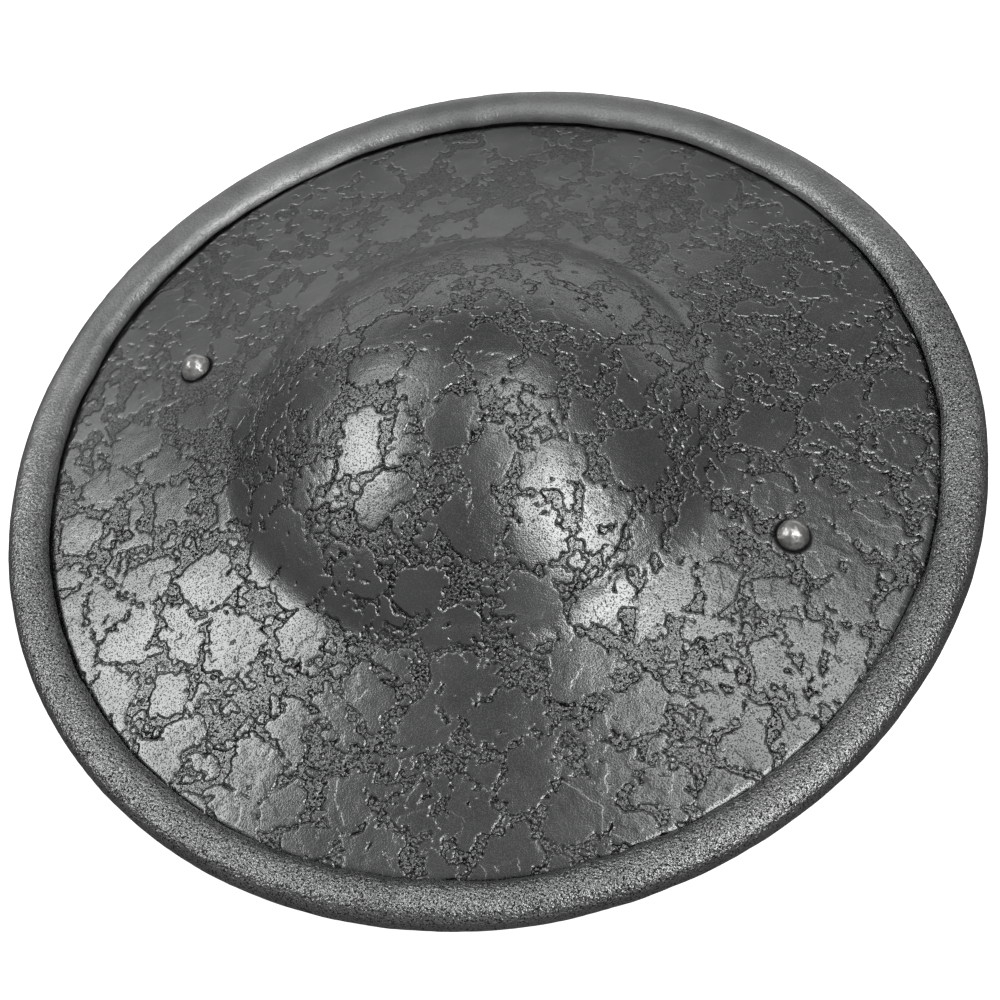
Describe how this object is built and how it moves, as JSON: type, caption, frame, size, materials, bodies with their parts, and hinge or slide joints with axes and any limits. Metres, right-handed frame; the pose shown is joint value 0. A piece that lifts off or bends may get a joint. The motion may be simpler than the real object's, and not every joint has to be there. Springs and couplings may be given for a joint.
{
  "type": "buckler shield",
  "caption": "Round steel buckler: a shallow coned plate with a domed boss and a rolled rim, and a riveted bar grip across the hollow of the boss.",
  "frame": {"origin": "centre of the circle that the rim rests on, at the bottom of the object", "axes": "+Z out of the front of the shield through the boss, X along the grip and the two rivets"},
  "size_m": [0.3, 0.3, 0.058],
  "materials": {
    "etched_steel": "dark etched sheet steel, smooth islands over a rough ground",
    "forged_steel": "forged bar steel, wire brushed and darkened",
    "rivet_steel": "hammered and polished rivet steel"
  },
  "bodies": {
    "root": {"shield_plate": "etched_steel", "grip": "forged_steel", "rivet_left": "rivet_steel", "rivet_right": "rivet_steel"}
  },
  "joints": []
}
